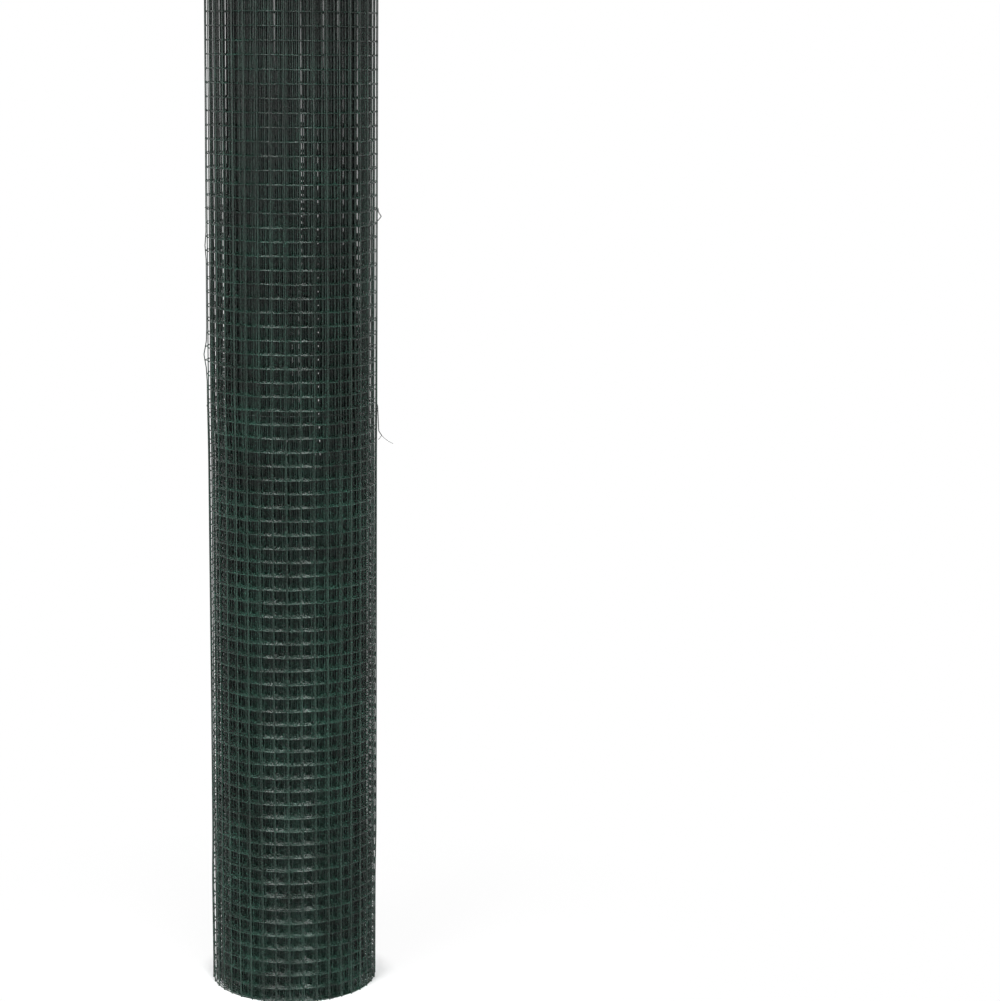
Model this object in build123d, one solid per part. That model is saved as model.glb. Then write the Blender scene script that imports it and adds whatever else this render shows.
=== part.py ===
"""Roll of plastic-coated square welded wire mesh, standing on its end and bound with thin wire."""
import os
from math import cos, floor, radians, sin, tan

from build123d import *

# Roll, in millimetres
roll_diameter = 158.0
bore_diameter = 50.0
mesh_pitch = 12.7
wire_diameter = 0.95
weld_sink = 0.12
end_trim = 0.85
turn_slack = 0.1

# Line wires run round the roll, one above another, and the cross wires stand from end to end
line_wire_count = 80

# Turns between the gaps that show on the ends
turns_per_gap = 2

# Binding wires, in millimetres
tie_wire_diameter = 0.45
tie_clearance = 0.3
twist_lengths = {"middle": 24.0, "upper": 3.0}
hook_reach = 2.4
hook_drop = 8.5
tail_reach = 10.5
tail_drop = 7.8

# Heights of the binding wires as parts of the roll's width, and how their twists face and lean, in degrees
tie_height_shares = {"middle": 0.5525, "upper": 0.7345}
tie_facing_angles = {"middle": -2.0, "upper": -1.0}
twist_lean_angle = 4.0
tailed_tie = "middle"
tie_section_sides = 6

# The sheet's free edge, in degrees round the roll
free_edge_angle = 14.0

# Bends of a hook as a part of its drop, and the overlap of the two strands as a part of their thickness
bend_share = 0.15
strand_overlap_share = 0.2

# The cross wires are trimmed close to the first and last line wires
roll_width = (line_wire_count - 1) * mesh_pitch + 2 * end_trim

# Turns: each is one sheet thick, a cross wire sunk a little into a line wire, with a little slack
roll_radius = roll_diameter / 2
bore_radius = bore_diameter / 2
sheet_thickness = 2 * wire_diameter - weld_sink
winding_depth = roll_radius - bore_radius - wire_diameter
turn_count = floor(winding_depth / (sheet_thickness + turn_slack))
turn_pitch = winding_depth / turn_count
gap_pitch = turns_per_gap * turn_pitch
gap_width = turn_pitch - wire_diameter
gap_half_turns = 2 * (turn_count // turns_per_gap) - 2
gap_depth = mesh_pitch / 2

# The outer turn steps down by one turn at the free edge, where the gap comes out
edge_radius = roll_radius - turn_pitch

turn_to_free_edge = Rot(0, 0, free_edge_angle)

# The thin binding wires have few sides
tie_section = RegularPolygon(tie_wire_diameter / 2, tie_section_sides)


def half_turn(end_radius, pitch, is_front, offset=0.0):
    """One half circle of a spiral, behind the axis or in front of it, named by its distance at its end."""
    centre_step = pitch / 4
    centre = (centre_step if is_front else -centre_step, 0)
    return CenterArc(centre, end_radius - centre_step + offset, 180 if is_front else 0, 180)


def spiral_gap():
    """Plan of the gap between the turns, open at the free edge."""
    inner_side = []
    outer_side = []
    for number in range(gap_half_turns):
        end_radius = edge_radius - (gap_half_turns - 1 - number) * gap_pitch / 2
        is_front = number % 2 == 1
        inner_side.append(half_turn(end_radius, gap_pitch, is_front))
        outer_side.append(half_turn(end_radius, gap_pitch, is_front, gap_width))
    inner_end = inner_side[-1] @ 1
    outer_end = outer_side[-1] @ 1
    past_edge = Vector(0, gap_width, 0)
    closing = [
        Line(inner_side[0] @ 0, outer_side[0] @ 0),
        Line(inner_end, inner_end + past_edge),
        Line(inner_end + past_edge, outer_end + past_edge),
        Line(outer_end + past_edge, outer_end),
    ]
    return make_face(inner_side + outer_side + closing)


def roll_plan():
    """Outline of the last whole turn with its step, round the bore."""
    back = half_turn(edge_radius + turn_pitch / 2, turn_pitch, False)
    front = half_turn(roll_radius, turn_pitch, True)
    step = Line(front @ 1, back @ 0)
    return make_face([back, front, step]) - Circle(bore_radius)


def mesh_roll():
    gap = extrude(spiral_gap(), gap_depth)
    roll = extrude(roll_plan(), roll_width)
    roll -= gap
    roll -= Pos(0, 0, roll_width - gap_depth) * gap
    return turn_to_free_edge * roll


def wire_along(path):
    """Binding wire swept along a path."""
    return sweep(Plane(path @ 0, x_dir=(0, 1, 0), z_dir=path % 0) * tie_section, path=path)


def tie_wire(name):
    """Ring round the roll, its ends twisted together and hooked, one end of one tie left as a tail."""
    centre_step = turn_pitch / 4
    ring_radius = roll_radius - centre_step + tie_clearance + tie_wire_diameter / 2
    ring = revolve(Plane.XZ * Pos(-ring_radius, 0) * tie_section, Axis.Z)

    lean = twist_lengths[name] * tan(radians(twist_lean_angle))
    start = Vector(ring_radius, 0, 0)
    end = start + Vector(lean, 0, -twist_lengths[name])
    tip = end + Vector(hook_reach, 0, -hook_drop / 2)
    hook_end = end + Vector(0, 0, -hook_drop)
    tail_end = tip + Vector(tail_reach, 0, -tail_drop)
    bend_radius = hook_drop * bend_share
    hooked = FilletPolyline(start, end, tip, hook_end, radius=bend_radius)
    other = FilletPolyline(start, end, tip, tail_end, radius=bend_radius) if name == tailed_tie else hooked
    spread = Pos(0, tie_wire_diameter * (1 - strand_overlap_share) / 2, 0)
    tie = ring + spread.inverse() * wire_along(hooked) + spread * wire_along(other)

    # The ring lies on the front half of the last turn, so it shares that half's centre
    height = tie_height_shares[name] * roll_width
    ring_x = centre_step * cos(radians(free_edge_angle))
    ring_y = centre_step * sin(radians(free_edge_angle))
    return Pos(ring_x, ring_y, height) * Rot(0, 0, tie_facing_angles[name]) * tie


os.makedirs("parts", exist_ok=True)
export_step(mesh_roll(), "parts/mesh_roll.step")
for name in tie_height_shares:
    export_step(tie_wire(name), f"parts/tie_wire_{name}.step")
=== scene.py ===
import math

import bmesh
import bpy
import numpy as np
from mathutils import Matrix, Vector
from mathutils.geometry import convex_hull_2d


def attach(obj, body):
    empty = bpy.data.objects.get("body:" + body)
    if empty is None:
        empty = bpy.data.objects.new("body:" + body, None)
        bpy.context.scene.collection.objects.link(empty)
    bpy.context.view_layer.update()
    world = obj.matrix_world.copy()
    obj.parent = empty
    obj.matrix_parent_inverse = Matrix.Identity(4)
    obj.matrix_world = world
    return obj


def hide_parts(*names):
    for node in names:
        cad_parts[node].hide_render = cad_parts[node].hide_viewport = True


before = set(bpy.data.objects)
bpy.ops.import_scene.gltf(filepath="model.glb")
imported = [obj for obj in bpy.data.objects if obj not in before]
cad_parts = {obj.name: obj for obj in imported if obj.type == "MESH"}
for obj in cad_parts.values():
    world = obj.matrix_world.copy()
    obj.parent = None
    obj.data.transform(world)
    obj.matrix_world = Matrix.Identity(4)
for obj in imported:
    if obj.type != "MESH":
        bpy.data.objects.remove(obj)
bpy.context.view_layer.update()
scene = bpy.context.scene
mm = 0.001
print("frame loaded", list(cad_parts))


def hexColor(text):
    channels = [int(text[i:i + 2], 16) / 255 for i in (1, 3, 5)]
    linear = [c / 12.92 if c <= 0.04045 else ((c + 0.055) / 1.055) ** 2.4 for c in channels]
    return (*linear, 1.0)


# settings and links go to a socket by its name or number, or to the node itself
def addNode(tree, kind, settings=None, links=None):
    node = tree.nodes.new(kind)
    for name, value in (settings or {}).items():
        if isinstance(name, int) or name in node.inputs:
            node.inputs[name].default_value = value
        else:
            setattr(node, name, value)
    for name, (source, output) in (links or {}).items():
        tree.links.new(source.outputs[output], node.inputs[name])
    return node


def newPiece(name, mesh, material, node):
    piece = bpy.data.objects.new(name, mesh)
    scene.collection.objects.link(piece)
    mesh.materials.clear()
    mesh.materials.append(material)
    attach(piece, "root")
    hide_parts(node)
    print(name, sum(len(p.vertices) - 2 for p in mesh.polygons), "triangles")


# round wire along each run of points, in millimetres
def wireMesh(name, runs, diameter, sides):
    curve = bpy.data.curves.new(name, "CURVE")
    curve.dimensions = "3D"
    curve.bevel_depth = diameter / 2 * mm
    curve.bevel_resolution = (sides - 4) // 2  # four sides at zero, two more a step
    curve.use_fill_caps = True
    for run in runs:
        spline = curve.splines.new("POLY")
        spline.points.add(len(run) - 1)
        spline.points.foreach_set("co", np.c_[run * mm, np.ones(len(run))].ravel())
    holder = bpy.data.objects.new(name, curve)
    mesh = bpy.data.meshes.new_from_object(holder)
    bpy.data.objects.remove(holder)
    bpy.data.curves.remove(curve)
    smooth = np.array([len(p.vertices) == 4 for p in mesh.polygons])  # the cut ends stay flat
    mesh.polygons.foreach_set("use_smooth", smooth)
    mesh.name = name
    return mesh


# many copies of one small shape, joined from arrays
def scatterMesh(name, shape, places, turnings, smooth):
    bmesh.ops.triangulate(shape, faces=shape.faces)
    shape.verts.index_update()
    corners = np.array([v.co for v in shape.verts])
    faces = np.array([[v.index for v in f.verts] for f in shape.faces])
    shape.free()
    verts = np.einsum("nij,vj->nvi", turnings, corners) + places[:, None, :]
    allFaces = faces[None] + np.arange(len(places))[:, None, None] * len(corners)
    mesh = bpy.data.meshes.new(name)
    mesh.from_pydata((verts.reshape(-1, 3) * mm).tolist(), [], allFaces.reshape(-1, 3).tolist())
    mesh.polygons.foreach_set("use_smooth", np.full(len(mesh.polygons), smooth))
    return mesh


def smoothStep(low, high, value):
    share = np.clip((value - low) / (high - low), 0, 1)
    return share * share * (3 - 2 * share)


def hump(middle, width, value):
    return np.exp(-((value - middle) / width) ** 2)


coatLook = {"tones": ((0.34, "#13251e"), (0.5, "#182f27"), (0.68, "#1f3930")), "patchMm": 40.0, "ior": 1.5,
            "runMm": 5.0, "runFrom": 0.3, "runTo": 0.7, "glossyRoughness": 0.2, "dullRoughness": 0.32,
            "orangePeelMm": 1.6, "peelStrength": 0.12, "peelDepthMm": 0.2}


# PVC coat on drawn wire, fused on by dipping: blackish green and satin, a little thicker here and there
def makeGreenCoat():
    material = bpy.data.materials.new("pvcDipCoat")
    material.use_nodes = True
    tree = material.node_tree
    shader = tree.nodes["Principled BSDF"]
    shader.inputs["IOR"].default_value = coatLook["ior"]
    coords = addNode(tree, "ShaderNodeTexCoord")
    patch = addNode(tree, "ShaderNodeTexNoise", {"Scale": 1000 / coatLook["patchMm"], "Detail": 4.0},
                    {"Vector": (coords, "Object")})
    tone = addNode(tree, "ShaderNodeValToRGB", {}, {"Fac": (patch, "Fac")})
    tone.color_ramp.elements.new(0.5)  # a third stop, placed below
    for stop, (position, color) in zip(tone.color_ramp.elements, coatLook["tones"]):
        stop.position = position
        stop.color = hexColor(color)
    tree.links.new(tone.outputs["Color"], shader.inputs["Base Color"])
    # glossier where the coat ran and cooled thick
    run = addNode(tree, "ShaderNodeTexNoise", {"Scale": 1000 / coatLook["runMm"], "Detail": 2.0},
                  {"Vector": (coords, "Object")})
    gloss = addNode(tree, "ShaderNodeMapRange",
                    {"From Min": coatLook["runFrom"], "From Max": coatLook["runTo"],
                     "To Min": coatLook["glossyRoughness"], "To Max": coatLook["dullRoughness"]},
                    {"Value": (run, "Fac")})
    tree.links.new(gloss.outputs["Result"], shader.inputs["Roughness"])
    # orange peel, drawn coarser than real so that it shows on so thin a wire
    peel = addNode(tree, "ShaderNodeTexNoise", {"Scale": 1000 / coatLook["orangePeelMm"], "Detail": 1.0},
                   {"Vector": (coords, "Object")})
    relief = addNode(tree, "ShaderNodeBump",
                     {"Strength": coatLook["peelStrength"], "Distance": coatLook["peelDepthMm"] * mm},
                     {"Height": (peel, "Fac")})
    tree.links.new(relief.outputs["Normal"], shader.inputs["Normal"])
    return material


# it turns bright between two distances out along +X, in metres
zincLook = {"tones": ((0.35, "#2a302e"), (0.65, "#3f4644")), "spangleMm": 3.0,
            "metallic": 0.9, "roughness": 0.5,
            "bright": "#9a9f9d", "brightFrom": 0.084, "brightTo": 0.088}


# hot-dip galvanised binding wire: darker along its ring and twist, brighter on its loose tail out past the
# roll
def makeZincWire():
    material = bpy.data.materials.new("galvanisedWire")
    material.use_nodes = True
    tree = material.node_tree
    shader = tree.nodes["Principled BSDF"]
    shader.inputs["Metallic"].default_value = zincLook["metallic"]
    shader.inputs["Roughness"].default_value = zincLook["roughness"]
    coords = addNode(tree, "ShaderNodeTexCoord")
    spangle = addNode(tree, "ShaderNodeTexNoise", {"Scale": 1000 / zincLook["spangleMm"], "Detail": 2.0},
                      {"Vector": (coords, "Object")})
    tone = addNode(tree, "ShaderNodeValToRGB", {}, {"Fac": (spangle, "Fac")})
    for stop, (position, color) in zip(tone.color_ramp.elements, zincLook["tones"]):
        stop.position = position
        stop.color = hexColor(color)
    place = addNode(tree, "ShaderNodeSeparateXYZ", {}, {"Vector": (coords, "Object")})
    loose = addNode(tree, "ShaderNodeMapRange",
                    {"From Min": zincLook["brightFrom"], "From Max": zincLook["brightTo"]},
                    {"Value": (place, "X")})
    # sockets of the colour mix by number: 0 its share, 6 and 7 its colours
    mix = addNode(tree, "ShaderNodeMix", {"data_type": "RGBA", 7: hexColor(zincLook["bright"])},
                  {0: (loose, "Result"), 6: (tone, "Color")})
    tree.links.new(mix.outputs[2], shader.inputs["Base Color"])
    return material


cutLook = {"tones": ((0.4, "#6a5a4c"), (0.6, "#8c8f8e")), "stainMm": 6.0, "metallic": 0.8, "roughness": 0.45}


# bare ends of the steel core, sheared: grey, with a first brown bloom
def makeCutSteel():
    material = bpy.data.materials.new("shearedSteel")
    material.use_nodes = True
    tree = material.node_tree
    shader = tree.nodes["Principled BSDF"]
    shader.inputs["Metallic"].default_value = cutLook["metallic"]
    shader.inputs["Roughness"].default_value = cutLook["roughness"]
    coords = addNode(tree, "ShaderNodeTexCoord")
    stain = addNode(tree, "ShaderNodeTexNoise", {"Scale": 1000 / cutLook["stainMm"], "Detail": 3.0},
                    {"Vector": (coords, "Object")})
    tone = addNode(tree, "ShaderNodeValToRGB", {}, {"Fac": (stain, "Fac")})
    for stop, (position, color) in zip(tone.color_ramp.elements, cutLook["tones"]):
        stop.position = position
        stop.color = hexColor(color)
    tree.links.new(tone.outputs["Color"], shader.inputs["Base Color"])
    return material


greenCoat = makeGreenCoat()
zincWire = makeZincWire()
cutSteel = makeCutSteel()
print("materials made")

# the wound sheet: lengths in millimetres, angles in degrees round from +X;
# its length is taken at lengthHeight, and no cross wire is nearer to its inner edge than innerClear
rollSpec = {"pitch": 12.7, "lineWires": 80, "endTrim": 0.85,
            "wire": 0.95, "steelCore": 0.7, "weldSink": 0.12,
            "turns": 28, "boreRadius": 25.0, "outerRadius": 79.0, "freeEdge": 14.0, "lastCross": 10.05,
            "innerClear": 2.0, "twist": -2.0, "lengthHeight": 300.0, "stepsPerTurn": 360}
# how the last turns lie at three heights: the last turn's radius at the right edge, how far in each
# loose turn lies under the one before, how far the first two stand off at the left edge, and how far
# the core lies to the right
windSpec = {
    "bottom": {"upTo": (95.0, 150.0), "radius": 77.2, "spacing": (1.6, 1.8, 1.9),
               "leftBulge": (1.7, 0.0), "coreShift": 0.3},
    "lower": {"upTo": (500.0, 570.0), "radius": 77.9, "spacing": (2.3, 2.3, 2.0),
              "leftBulge": (0.8, 0.9), "coreShift": 0.3},
    "upper": {"radius": 78.2, "spacing": (2.2, 2.2, 2.2, 2.0, 2.0, 2.0),
              "leftBulge": (0.8, 0.0), "coreShift": -1.2},
}
coreSpec = {"spacing": 1.8, "turns": 14, "shiftTurns": 3}
# small faults: cross wires off their pitch, rows off level, turns in the core off their radius,
# and the last turn wavy all round and pinched in at its foot on the left
faultSpec = {"seed": 11, "outerScatter": 0.3, "innerScatter": 0.2, "outerLength": 500.0,
             "rowScatter": 0.22, "rowWaves": ((6.3, 1.0), (2.7, 0.6)),
             "lapScatter": 0.09, "lapWaves": ((2.3, 1.3), (3.7, 3.0)),
             "lapInner": (0, 2), "lapOuter": (3, 5), "lastTurn": (1.1, 0.95),
             "waveOut": 0.35, "waveCount": 3, "waveMm": 130.0, "waveFade": (0, 0.08),
             "bottomPinch": 0.7, "pinchBelow": 110.0}
# places on the left edge where the last turn is bent out
dentSpec = [{"angle": 181.0, "height": 602.0, "out": 2.8, "wide": 5.0, "tall": 10.0},
            {"angle": 181.0, "height": 702.7, "out": 1.1, "wide": 4.0, "tall": 2.6},
            {"angle": 181.0, "height": 694.7, "out": 1.0, "wide": 4.0, "tall": 2.2}]
turns = rollSpec["turns"]
rollWidth = (rollSpec["lineWires"] - 1) * rollSpec["pitch"] + 2 * rollSpec["endTrim"]
rowHeights = rollSpec["endTrim"] + rollSpec["pitch"] * np.arange(rollSpec["lineWires"])
wireLift = (rollSpec["wire"] - rollSpec["weldSink"]) / 2
halfSheet = wireLift + rollSpec["wire"] / 2
innerMid = rollSpec["boreRadius"] + halfSheet
rng = np.random.default_rng(faultSpec["seed"])
rowPhases = rng.uniform(0, 2 * math.pi, (2, rollSpec["lineWires"]))


# u counts turns out from the inner edge
def sheetAngle(u, z):
    return np.radians(rollSpec["freeEdge"] + 360 * (u - turns) + rollSpec["twist"] * z / rollWidth)


# radius and shift for one way of lying: the loose turns, then a tight core, evened out towards the bore
def windTurns(wind, u):
    edgeShare = rollSpec["freeEdge"] / 360
    back = turns - u - edgeShare  # turns back from the right edge
    spacing = [*wind["spacing"], *[coreSpec["spacing"]] * (coreSpec["turns"] - len(wind["spacing"]))]
    radii = wind["radius"] - np.cumsum([0, *spacing])
    radius = np.interp(back, [*range(coreSpec["turns"] + 1), turns - edgeShare], [*radii, innerMid])
    for number, standOff in enumerate(wind["leftBulge"]):
        radius = radius + standOff * np.sin(math.pi * np.clip(back - number, 0, 1)) ** 2
    uneven = sum(np.sin(rate * u + phase) for rate, phase in faultSpec["lapWaves"])
    uneven = faultSpec["lapScatter"] * uneven * smoothStep(*faultSpec["lapInner"], u)
    radius = radius + uneven * smoothStep(*faultSpec["lapOuter"], turns - u)
    return radius, wind["coreShift"] * np.clip(back / coreSpec["shiftTurns"], 0, 1)


def sheetRadius(u, z):
    radius, shift = windTurns(windSpec["bottom"], u)
    for under, over in (("bottom", "lower"), ("lower", "upper")):
        share = smoothStep(*windSpec[under]["upTo"], z)
        nextRadius, nextShift = windTurns(windSpec[over], u)
        radius = radius + (nextRadius - radius) * share
        shift = shift + (nextShift - shift) * share
    return radius, shift


# lift is along the radius, off the middle of the sheet
def sheetPoint(u, z, lift):
    u, z = np.broadcast_arrays(np.asarray(u, float), np.asarray(z, float))
    angle = sheetAngle(u, z)
    radius, shift = sheetRadius(u, z)
    lastFrom, lastFull = faultSpec["lastTurn"]
    last = smoothStep(turns - lastFrom, turns - lastFull, u)
    wave = faultSpec["waveOut"] * np.sin(faultSpec["waveCount"] * angle + z / faultSpec["waveMm"])
    wave = wave * smoothStep(*faultSpec["waveFade"], turns - u)
    pinch = faultSpec["bottomPinch"] * (1 - smoothStep(0, faultSpec["pinchBelow"], z))
    pinch = pinch * np.clip(-np.cos(angle), 0, 1)
    radius = radius + lift + last * (wave - pinch)
    for dent in dentSpec:
        turned = (np.degrees(angle) - dent["angle"] + 180) % 360 - 180
        bend = last * dent["out"] * hump(0, dent["wide"], turned)
        radius = radius + bend * hump(dent["height"], dent["tall"], z)
    return np.stack([radius * np.cos(angle) + shift, radius * np.sin(angle), z], axis=-1)


# cross wires stand a pitch apart along the sheet, as near as the welder set them
uFine = np.linspace(0, turns, turns * rollSpec["stepsPerTurn"] + 1)
fineRadius = sheetRadius(uFine, rollSpec["lengthHeight"])[0]
lengthAt = np.concatenate([[0], np.cumsum(np.diff(uFine) * 2 * math.pi * fineRadius[1:])])
lengthLast = np.interp(turns + (rollSpec["lastCross"] - rollSpec["freeEdge"]) / 360, uFine, lengthAt)
crossLengths = np.arange(lengthLast, rollSpec["innerClear"], -rollSpec["pitch"])
inOuter = crossLengths > lengthLast - faultSpec["outerLength"]
scatter = np.where(inOuter, faultSpec["outerScatter"], faultSpec["innerScatter"])
crossLengths = crossLengths + rng.uniform(-1, 1, len(crossLengths)) * scatter
crossTurns = np.interp(crossLengths, lengthAt, uFine)
print("sheet", round(lengthAt[-1]), "mm long,", len(crossTurns), "cross wires")


# a row's height off level; the two end rows are straight
def rowWave(u, row):
    if row in (0, rollSpec["lineWires"] - 1):
        return 0 * u
    wave = 0
    for (perTurn, share), phase in zip(faultSpec["rowWaves"], rowPhases[:, row]):
        wave = wave + share * np.sin(2 * math.pi * u * perTurn + phase)
    return faultSpec["rowScatter"] * wave


# line wires run round the roll inside the cross wires
lineSpec = {"outerTurns": 1.1, "looseTurns": 6.1, "innerSplit": 14.0, "endClear": 0.5,
            "bentRow": 50, "bentOut": 2.6, "bentDown": 3.4}
outerFrom = turns - lineSpec["outerTurns"]
looseFrom = turns - lineSpec["looseTurns"]
endRows = [0, 1, rollSpec["lineWires"] - 2, rollSpec["lineWires"] - 1]
midRows = [row for row in range(rollSpec["lineWires"]) if row not in endRows]


# points fall at the cross wires, as first set, and between them where a cell has more steps
def lineRuns(uFrom, uTo, stepsPerCell, rows):
    step = rollSpec["pitch"] / stepsPerCell
    first, last = np.interp([uFrom, uTo], uFine, lengthAt)
    ticks = lengthLast - step * np.arange(-1, int(lengthLast / step) + 1)
    inside = ticks[(ticks > first + lineSpec["endClear"]) & (ticks < last - lineSpec["endClear"])][::-1]
    u = np.interp(np.concatenate([[first], inside, [last]]), lengthAt, uFine)
    return [sheetPoint(u, rowHeights[row] + rowWave(u, row), -wireLift) for row in rows]


def makeLineWires():
    outer = lineRuns(outerFrom, turns, 2, range(rollSpec["lineWires"]))
    # one cut end at the free edge is bent out
    bent = outer[lineSpec["bentRow"]]
    tip = bent[-1].copy()
    outward = tip * (1, 1, 0) / np.hypot(tip[0], tip[1])
    bent[-1] = tip + outward * lineSpec["bentOut"] - (0, 0, lineSpec["bentDown"])
    # each batch as its runs and the sides of its wire
    batches = {"lineWiresOuter": (outer, 8),
               "lineWiresLoose": (lineRuns(looseFrom, outerFrom, 1, midRows), 6),
               "lineWiresMiddle": (lineRuns(lineSpec["innerSplit"], looseFrom, 1, midRows), 4),
               "lineWiresInner": (lineRuns(0, lineSpec["innerSplit"], 1, midRows), 4),
               "lineWiresEnds": (lineRuns(0, outerFrom, 2, endRows), 6)}
    for name, (runs, sides) in batches.items():
        newPiece(name, wireMesh(name, runs, rollSpec["wire"], sides), greenCoat, "mesh_roll")


# cross wires stand from end to end, outside the line wires; heights are closest where the turns change
crossSpec = {"looseSteps": ((0, 480, 60), (480, 640, 10), (640, 975, 60)),
             "innerHeights": (0, 95, 122, 150, 300, 500, 518, 535, 552, 570, 800)}


def makeCrossWires():
    fine = np.linspace(0, rollWidth, rollSpec["lineWires"] + 1)
    loose = np.concatenate([*(np.arange(*steps) for steps in crossSpec["looseSteps"]), [rollWidth]])
    inner = np.array([*crossSpec["innerHeights"], rollWidth])
    batches = {"crossWiresOuter": (crossTurns > outerFrom, fine, 8),
               "crossWiresLoose": ((crossTurns <= outerFrom) & (crossTurns > looseFrom), loose, 6),
               "crossWiresInner": (crossTurns <= looseFrom, inner, 6)}
    for name, (which, heights, sides) in batches.items():
        runs = [sheetPoint(u, heights, wireLift) for u in crossTurns[which]]
        newPiece(name, wireMesh(name, runs, rollSpec["wire"], sides), greenCoat, "mesh_roll")


# fillets of coat at the welds of the outer turn
weldSpec = {"along": 0.85, "across": 0.78, "segments": 6, "rings": 4}


def makeWelds():
    outer = crossTurns[crossTurns > outerFrom]
    u = np.tile(outer, rollSpec["lineWires"])
    z = np.concatenate([rowHeights[row] + rowWave(outer, row) for row in range(rollSpec["lineWires"])])
    angle = sheetAngle(u, z)
    turnings = np.zeros((len(u), 3, 3))
    turnings[:, 0, 0] = turnings[:, 1, 1] = np.cos(angle)
    turnings[:, 1, 0] = np.sin(angle)
    turnings[:, 0, 1] = -np.sin(angle)
    turnings[:, 2, 2] = 1
    bead = bmesh.new()
    bmesh.ops.create_uvsphere(bead, u_segments=weldSpec["segments"], v_segments=weldSpec["rings"],
                              radius=1.0)
    bmesh.ops.scale(bead, verts=bead.verts, vec=(weldSpec["across"], weldSpec["along"], weldSpec["along"]))
    mesh = scatterMesh("weldFillets", bead, sheetPoint(u, z, 0.0), turnings, True)
    newPiece("weldFillets", mesh, greenCoat, "mesh_roll")


# steel cores show at the cut ends of the cross wires, a hair proud of the coat
cutSpec = {"proud": 0.02, "sides": 8}


def makeCutEnds():
    ends = [sheetPoint(crossTurns, z, wireLift) for z in (0.0, rollWidth)]
    flip = np.repeat([-1.0, 1.0], len(crossTurns))
    tips = np.concatenate(ends)
    tips[:, 2] += flip * cutSpec["proud"]
    turnings = np.zeros((len(tips), 3, 3))
    turnings[:, 0, 0] = 1
    turnings[:, 1, 1] = turnings[:, 2, 2] = flip
    disc = bmesh.new()
    bmesh.ops.create_circle(disc, cap_ends=True, segments=cutSpec["sides"], radius=rollSpec["steelCore"] / 2)
    mesh = scatterMesh("cutEnds", disc, tips, turnings, False)
    newPiece("cutEnds", mesh, cutSteel, "mesh_roll")


makeLineWires()
makeCrossWires()
makeWelds()
makeCutEnds()
print("mesh roll made")

# binding wires: height, where the twist faces and its length; the rest is outward and up from the twist
tieSpec = {"diameter": 0.45, "sides": 8, "strandPitch": 2.6, "apart": 0.32, "leanAngle": 2.5, "parting": 0.6,
           "step": 0.35, "bendSteps": 3, "rimPoints": 361, "ringPoints": 240, "unwindsOver": (4, 7),
           "ties": {"middle": (555.3, -2.0, 24.0), "upper": (738.2, -1.0, 3.0)}, "tailed": "middle",
           "hookTip": (2.8, -4.25), "hookEnd": (-0.4, -8.5),
           "tail": ((5.0, -6.6), (8.8, -9.6), (13.5, -12.05))}


# points a short step apart along straight legs, with the corners eased
def easedRoute(corners):
    lengths = np.concatenate([[0], np.cumsum(np.hypot(*np.diff(corners, axis=0).T))])
    ticks = np.linspace(0, lengths[-1], round(lengths[-1] / tieSpec["step"]) + 1)
    route = np.stack([np.interp(ticks, lengths, column) for column in corners.T], axis=-1)
    window = tieSpec["bendSteps"]
    padded = np.pad(route, ((window // 2, window // 2), (0, 0)), mode="edge")
    eased = [np.convolve(column, np.ones(window) / window, "valid") for column in padded.T]
    return ticks, np.stack(eased, axis=-1)


def tiePath(name):
    height, facing, twistLength = tieSpec["ties"][name]
    radius = tieSpec["diameter"] / 2
    start = math.radians(facing)
    outward = np.array([math.cos(start), math.sin(start), 0])
    sideways = np.array([-math.sin(start), math.cos(start), 0])
    up = np.array([0, 0, 1.0])
    # drawn taut over the outer turn
    rim = sheetPoint(np.linspace(turns - 1, turns, tieSpec["rimPoints"]), height, halfSheet + radius)
    hull = rim[convex_hull_2d([tuple(p[:2]) for p in rim])]
    hullAngles = np.arctan2(hull[:, 1], hull[:, 0])
    hullReach = np.hypot(hull[:, 0], hull[:, 1])
    order = np.argsort(hullAngles)
    gap = tieSpec["parting"] / rollSpec["outerRadius"]
    around = start + np.linspace(gap, 2 * math.pi - gap, tieSpec["ringPoints"])
    reach = np.interp(around, hullAngles[order], hullReach[order], period=2 * math.pi)
    ring = np.stack([reach * np.cos(around), reach * np.sin(around), np.full(len(around), height)], axis=-1)
    # two strands wound round each other down to the hook, where one may leave as a tail
    twistEnd = np.array([twistLength * math.tan(math.radians(tieSpec["leanAngle"])), -twistLength])
    unwindFrom, unwindTo = (twistLength + past for past in tieSpec["unwindsOver"])
    strands = []
    for side in (1, -1):
        tailed = name == tieSpec["tailed"] and side < 0
        bends = (tieSpec["hookTip"], *(tieSpec["tail"] if tailed else (tieSpec["hookEnd"],)))
        ticks, route = easedRoute(np.array([(0, 0), twistEnd, *(twistEnd + bend for bend in bends)]))
        phase = 2 * math.pi * ticks / tieSpec["strandPitch"]
        apart = side * tieSpec["apart"] * (1 - smoothStep(unwindFrom, unwindTo, ticks) * tailed)
        swing = apart[:, None] * (np.cos(phase)[:, None] * sideways + np.sin(phase)[:, None] * outward)
        strands.append(outward * reach[0] + up * height + route @ np.array([outward, up]) + swing)
    return np.concatenate([strands[0][::-1], ring, strands[1]])


for name in tieSpec["ties"]:
    pieceName = "tieWire" + name.title()
    tieMesh = wireMesh(pieceName, [tiePath(name)], tieSpec["diameter"], tieSpec["sides"])
    newPiece(pieceName, tieMesh, zincWire, "tie_wire_" + name)
print("binding wires made")

# metres from the roll's axis: at its foot the paper keeps its shading, farther off it is plain white;
# the walls are white and the ceiling dark, by how far up one looks
stageSpec = {"floorSize": 16.0, "paper": "#f4f5f5", "paperRoughness": 0.9,
             "glow": ((0.075, 0.0), (0.1, 0.92), (0.5, 1.0)),
             "walls": ((0.2, "#ffffff"), (0.5, "#303232")), "ambient": 0.1}


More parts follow.
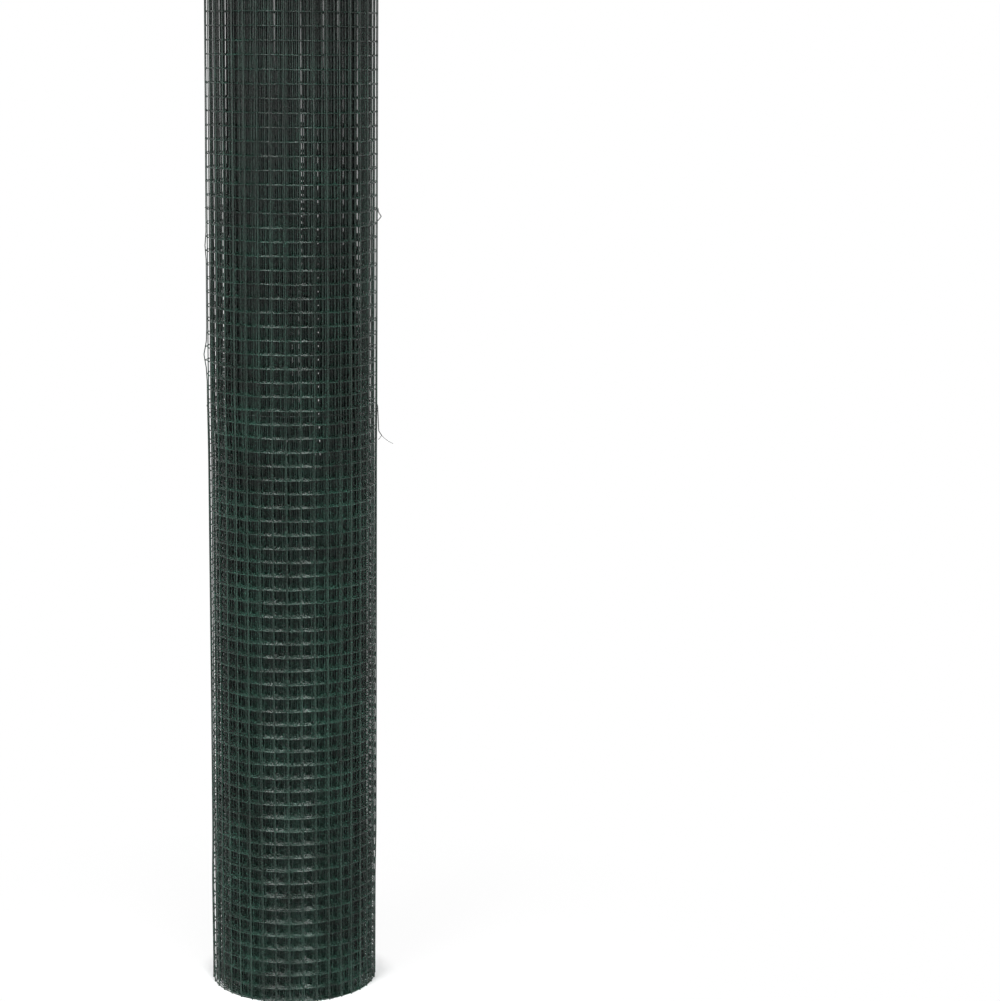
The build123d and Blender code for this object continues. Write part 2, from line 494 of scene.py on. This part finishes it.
# one for what is seen directly, in a gloss or through something clear
def seenRays(tree):
    light = addNode(tree, "ShaderNodeLightPath")
    seen = addNode(tree, "ShaderNodeMath", {"operation": "ADD"},
                   {0: (light, "Is Camera Ray"), 1: (light, "Is Glossy Ray")})
    return addNode(tree, "ShaderNodeMath", {"operation": "ADD", "use_clamp": True},
                   {0: (seen, "Value"), 1: (light, "Is Transmission Ray")})


def makeStage():
    shape = bmesh.new()
    bmesh.ops.create_grid(shape, x_segments=1, y_segments=1, size=stageSpec["floorSize"] / 2)
    mesh = bpy.data.meshes.new("floorPaper")
    shape.to_mesh(mesh)
    shape.free()
    floor = bpy.data.objects.new("floorPaper", mesh)
    scene.collection.objects.link(floor)
    paper = bpy.data.materials.new("seamlessPaper")  # matt white paper
    paper.use_nodes = True
    tree = paper.node_tree
    shader = tree.nodes["Principled BSDF"]
    shader.inputs["Base Color"].default_value = hexColor(stageSpec["paper"])
    shader.inputs["Roughness"].default_value = stageSpec["paperRoughness"]
    coords = addNode(tree, "ShaderNodeTexCoord")
    far = addNode(tree, "ShaderNodeVectorMath", {"operation": "LENGTH"}, {0: (coords, "Object")})
    glow = addNode(tree, "ShaderNodeValToRGB", {}, {"Fac": (far, "Value")})
    glow.color_ramp.elements.new(0.5)  # a third stop, placed below
    for stop, (distance, level) in zip(glow.color_ramp.elements, stageSpec["glow"]):
        stop.position = distance
        stop.color = (level, level, level, 1)
    share = addNode(tree, "ShaderNodeMath", {"operation": "MULTIPLY"},
                    {0: (seenRays(tree), "Value"), 1: (glow, "Color")})
    white = addNode(tree, "ShaderNodeEmission", {"Strength": 1.0})
    mix = addNode(tree, "ShaderNodeMixShader", {},
                  {"Fac": (share, "Value"), 1: (shader, "BSDF"), 2: (white, "Emission")})
    tree.links.new(mix.outputs["Shader"], tree.nodes["Material Output"].inputs["Surface"])
    mesh.materials.append(paper)


def makeWorld():
    world = bpy.data.worlds.new("studio")
    world.use_nodes = True
    scene.world = world
    tree = world.node_tree
    level = addNode(tree, "ShaderNodeMapRange", {"To Min": stageSpec["ambient"], "To Max": 1.0},
                    {"Value": (seenRays(tree), "Value")})
    coords = addNode(tree, "ShaderNodeTexCoord")
    place = addNode(tree, "ShaderNodeSeparateXYZ", {}, {"Vector": (coords, "Generated")})
    walls = addNode(tree, "ShaderNodeValToRGB", {}, {"Fac": (place, "Z")})
    for stop, (position, color) in zip(walls.color_ramp.elements, stageSpec["walls"]):
        stop.position = position
        stop.color = hexColor(color)
    back = tree.nodes["Background"]
    tree.links.new(walls.outputs["Color"], back.inputs["Color"])
    tree.links.new(level.outputs["Result"], back.inputs["Strength"])


# a weak overhead bank, a wide low fill behind the camera and a weaker one at the back, and two soft boxes
# aimed at the roll's foot, which glint on each line wire; metres, watts and degrees
lampSpec = {
    "overhead": {"at": (0.0, -0.6, 2.9), "aim": (0, 0, 0.5), "size": (1.6, 1.6),
                 "power": 4.0, "spread": 180},
    "frontFill": {"at": (-0.6, -3.0, 1.0), "aim": (0, 0, 0.6), "size": (2.4, 0.6),
                  "power": 20.0, "spread": 180},
    "backFill": {"at": (-0.3, 3.0, 1.5), "aim": (0, 0, 0.6), "size": (2.4, 1.6),
                 "power": 12.0, "spread": 180},
    "leftBox": {"at": (-1.33, -1.86, 2.3), "aim": (0, 0, 0.0), "size": (1.2, 0.7),
                "power": 5.6, "spread": 40},
    "rightBox": {"at": (0.68, -2.15, 2.3), "aim": (0, 0, 0.0), "size": (1.2, 0.7),
                 "power": 5.6, "spread": 40},
}


def makeLamps():
    for name, spec in lampSpec.items():
        data = bpy.data.lights.new(name, "AREA")
        data.shape = "RECTANGLE"
        data.size, data.size_y = spec["size"]
        data.energy = spec["power"]
        data.spread = math.radians(spec["spread"])
        lamp = bpy.data.objects.new(name, data)
        lamp.location = spec["at"]
        lamp.rotation_euler = (Vector(spec["aim"]) - Vector(spec["at"])).to_track_quat("-Z", "Y").to_euler()
        scene.collection.objects.link(lamp)


# metres and degrees; the picture is 1000 by 1001, and the focal length is in its pixels
cameraSpec = {"distance": 2.44094, "height": 0.88863, "tiltDown": 9.83, "pan": 4.56, "roll": -0.57,
              "focalPx": 2634.8, "longSide": 1001, "sensorMm": 36.0}


def makeCamera():
    tilt, pan, roll = (math.radians(cameraSpec[k]) for k in ("tiltDown", "pan", "roll"))
    forward = Vector((math.sin(pan) * math.cos(tilt), math.cos(pan) * math.cos(tilt), -math.sin(tilt)))
    level = Vector((math.cos(pan), -math.sin(pan), 0))
    down = forward.cross(level)
    right = level * math.cos(roll) + down * math.sin(roll)
    up = level * math.sin(roll) - down * math.cos(roll)
    data = bpy.data.cameras.new("photoCamera")
    data.sensor_width = cameraSpec["sensorMm"]
    data.lens = cameraSpec["focalPx"] / cameraSpec["longSide"] * data.sensor_width
    camera = bpy.data.objects.new("photoCamera", data)
    place = Matrix((right, up, -forward)).transposed().to_4x4()
    place.translation = (0, -cameraSpec["distance"], cameraSpec["height"])
    camera.matrix_world = place
    scene.collection.objects.link(camera)
    scene.camera = camera


makeStage()
makeWorld()
makeLamps()
makeCamera()
scene.view_settings.view_transform = "Standard"
print("stage, light and camera set")
